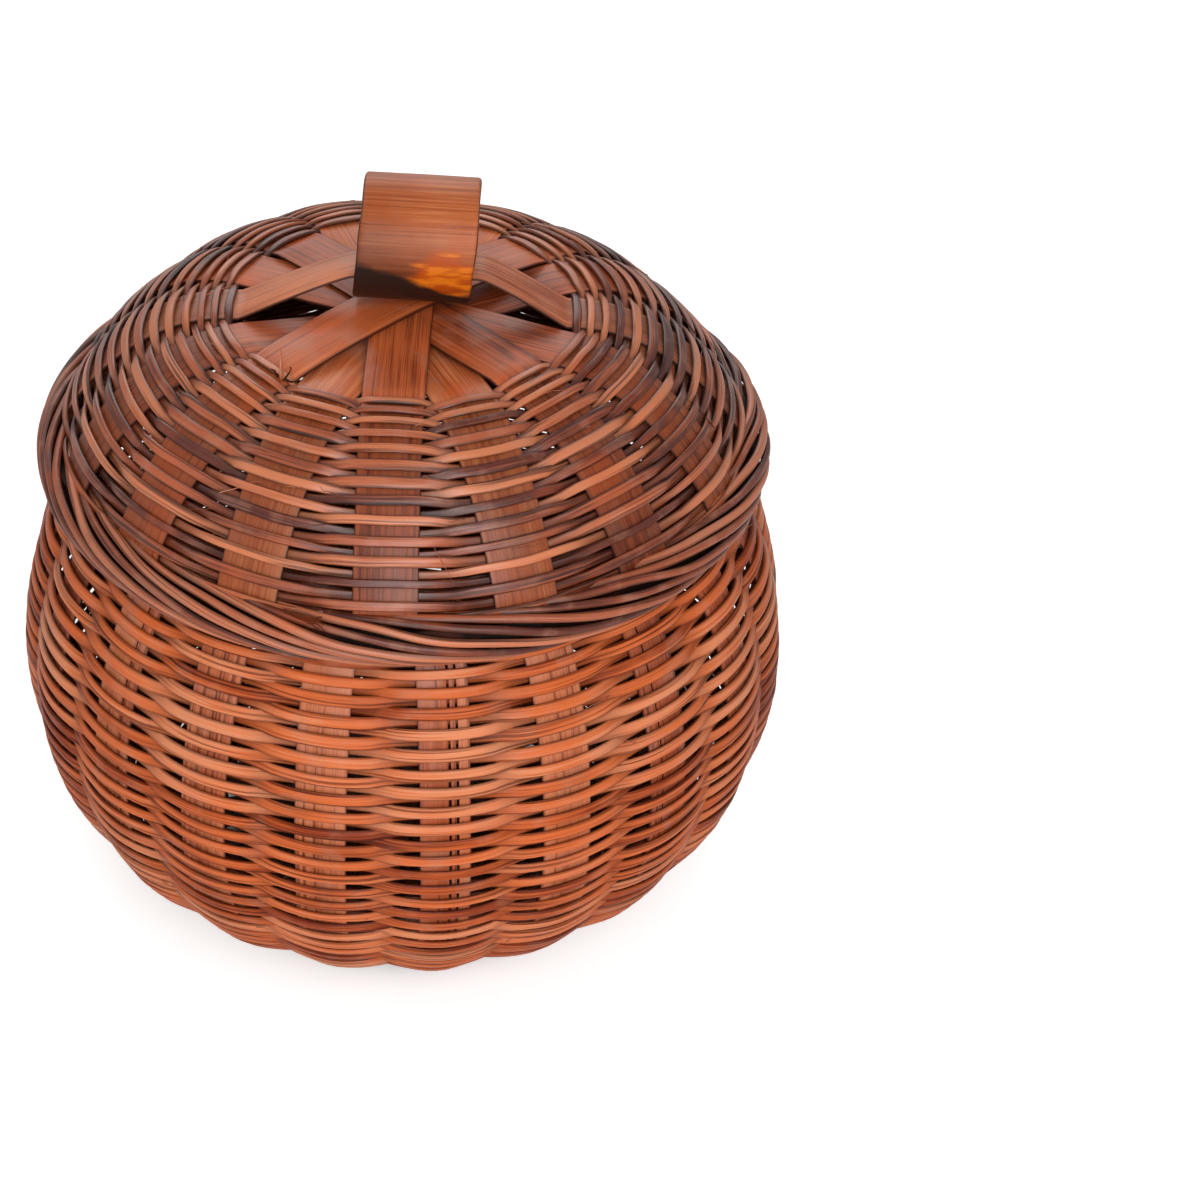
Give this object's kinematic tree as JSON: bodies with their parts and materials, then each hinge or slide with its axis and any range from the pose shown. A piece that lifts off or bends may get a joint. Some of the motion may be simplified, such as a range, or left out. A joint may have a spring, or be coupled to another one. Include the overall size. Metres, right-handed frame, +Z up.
{
  "type": "lidded bamboo basket",
  "caption": "Round woven bamboo basket with a domed lift-off lid, rope-laid rims and a turning bamboo ring handle on a strap.",
  "frame": {"origin": "on the surface that the basket stands on, under the middle of the basket", "axes": "+Z up along the axis of the basket, +X along the strap of the handle, front of the basket at -Y"},
  "size_m": [0.199, 0.199, 0.2059],
  "materials": {
    "splints": "satin varnish",
    "strips": "satin varnish",
    "strands": "satin varnish",
    "culm": "scorched and varnished"
  },
  "bodies": {
    "basket": {"body_weave": "splints", "base_strip_1": "strips", "base_strip_2": "strips", "base_strip_3": "strips", "base_strip_4": "strips", "base_strip_5": "strips", "base_strip_6": "strips", "base_strip_7": "strips", "base_strip_8": "strips", "base_strip_9": "strips", "base_strip_10": "strips", "foot_strand_1": "strands", "foot_strand_2": "strands", "foot_strand_3": "strands", "mouth_strand_1": "strands", "mouth_strand_2": "strands", "mouth_strand_3": "strands"},
    "lid": {"lid_weave": "splints", "crown_strip_1": "strips", "crown_strip_2": "strips", "crown_strip_3": "strips", "crown_strip_4": "strips", "crown_strip_5": "strips", "crown_strip_6": "strips", "crown_strip_7": "strips", "handle_strap": "strips", "rim_core": "strands", "rim_strand_1": "strands", "rim_strand_2": "strands", "rim_strand_3": "strands", "rim_strand_4": "strands", "rim_strand_5": "strands", "rim_strand_6": "strands", "rim_strand_7": "strands", "rim_strand_8": "strands", "rim_strand_9": "strands", "rim_strand_10": "strands", "rim_strand_11": "strands", "rim_strand_12": "strands"},
    "grip": {"grip_ring": "culm"}
  },
  "joints": [
    {"name": "lid_lift", "type": "slide", "parent": "basket", "child": "lid", "axis": [0, 0, 1], "range_m": [0, 0.1]},
    {"name": "grip_turn", "type": "hinge", "parent": "lid", "child": "grip", "pos_m": [0.0034, 0, 0.19063], "axis": [1, 0, 0], "continuous": true}
  ]
}
